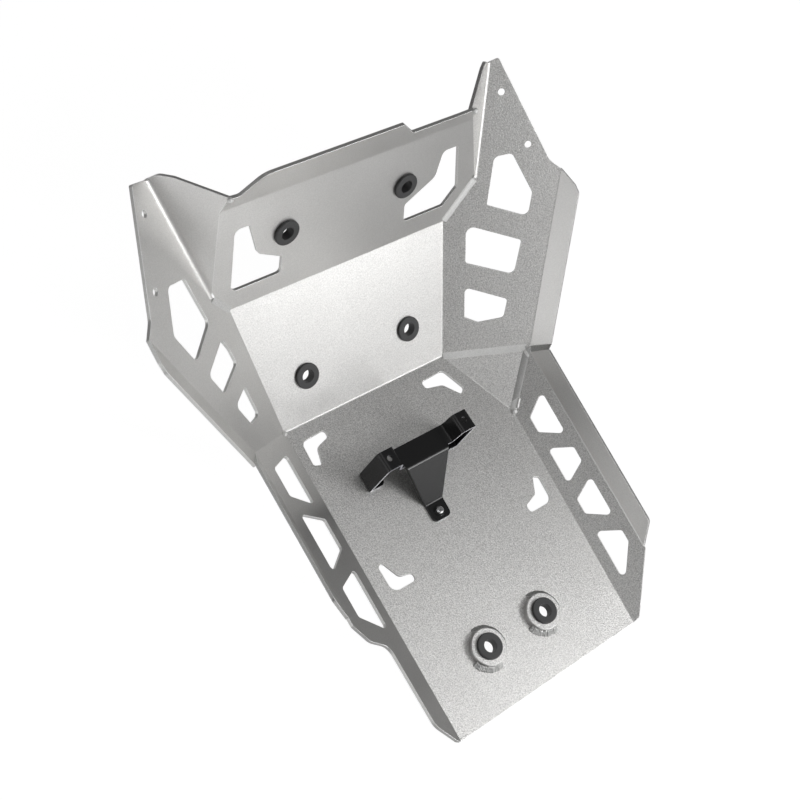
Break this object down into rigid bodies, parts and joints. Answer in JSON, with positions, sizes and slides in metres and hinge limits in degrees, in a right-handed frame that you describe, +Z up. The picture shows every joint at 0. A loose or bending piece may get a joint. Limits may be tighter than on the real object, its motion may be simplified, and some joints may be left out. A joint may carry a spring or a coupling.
{
  "type": "motorcycle engine guard",
  "caption": "Folded aluminium engine guard with welded corners, cut-out windows, rubber grommets in its bolt holes and a black strap bracket on its floor.",
  "frame": {"origin": "middle of the fold between floor and ramp, on the plane of the floor's underside", "axes": "+X to the guard's left side, +Y to the rear along the floor, +Z up from the floor"},
  "size_m": [0.4423, 0.4895, 0.2252],
  "materials": {
    "bare_aluminium": "fine blasted",
    "weld_metal": "rippled weld",
    "black_rubber": "matte",
    "black_coat": "satin black coat",
    "bright_steel": "plated"
  },
  "bodies": {
    "root": {"guard_plate": "bare_aluminium", "bracket": "black_coat", "bracket_washer": "bright_steel", "bracket_screw": "bright_steel", "ring_left": "bare_aluminium", "grommet_floor_left": "black_rubber", "grommet_ramp_left": "black_rubber", "grommet_upper_left": "black_rubber", "weld_ring_front_left": "weld_metal", "weld_ring_rear_left": "weld_metal", "weld_knee_left": "weld_metal", "weld_lip_left": "weld_metal", "weld_top_left": "weld_metal", "weld_corner_left": "weld_metal", "ring_right": "bare_aluminium", "grommet_floor_right": "black_rubber", "grommet_ramp_right": "black_rubber", "grommet_upper_right": "black_rubber", "weld_ring_front_right": "weld_metal", "weld_ring_rear_right": "weld_metal", "weld_knee_right": "weld_metal", "weld_lip_right": "weld_metal", "weld_top_right": "weld_metal", "weld_corner_right": "weld_metal", "weld_wing_right": "weld_metal", "weld_facet_right": "weld_metal", "weld_facet_spot": "weld_metal"}
  },
  "joints": []
}
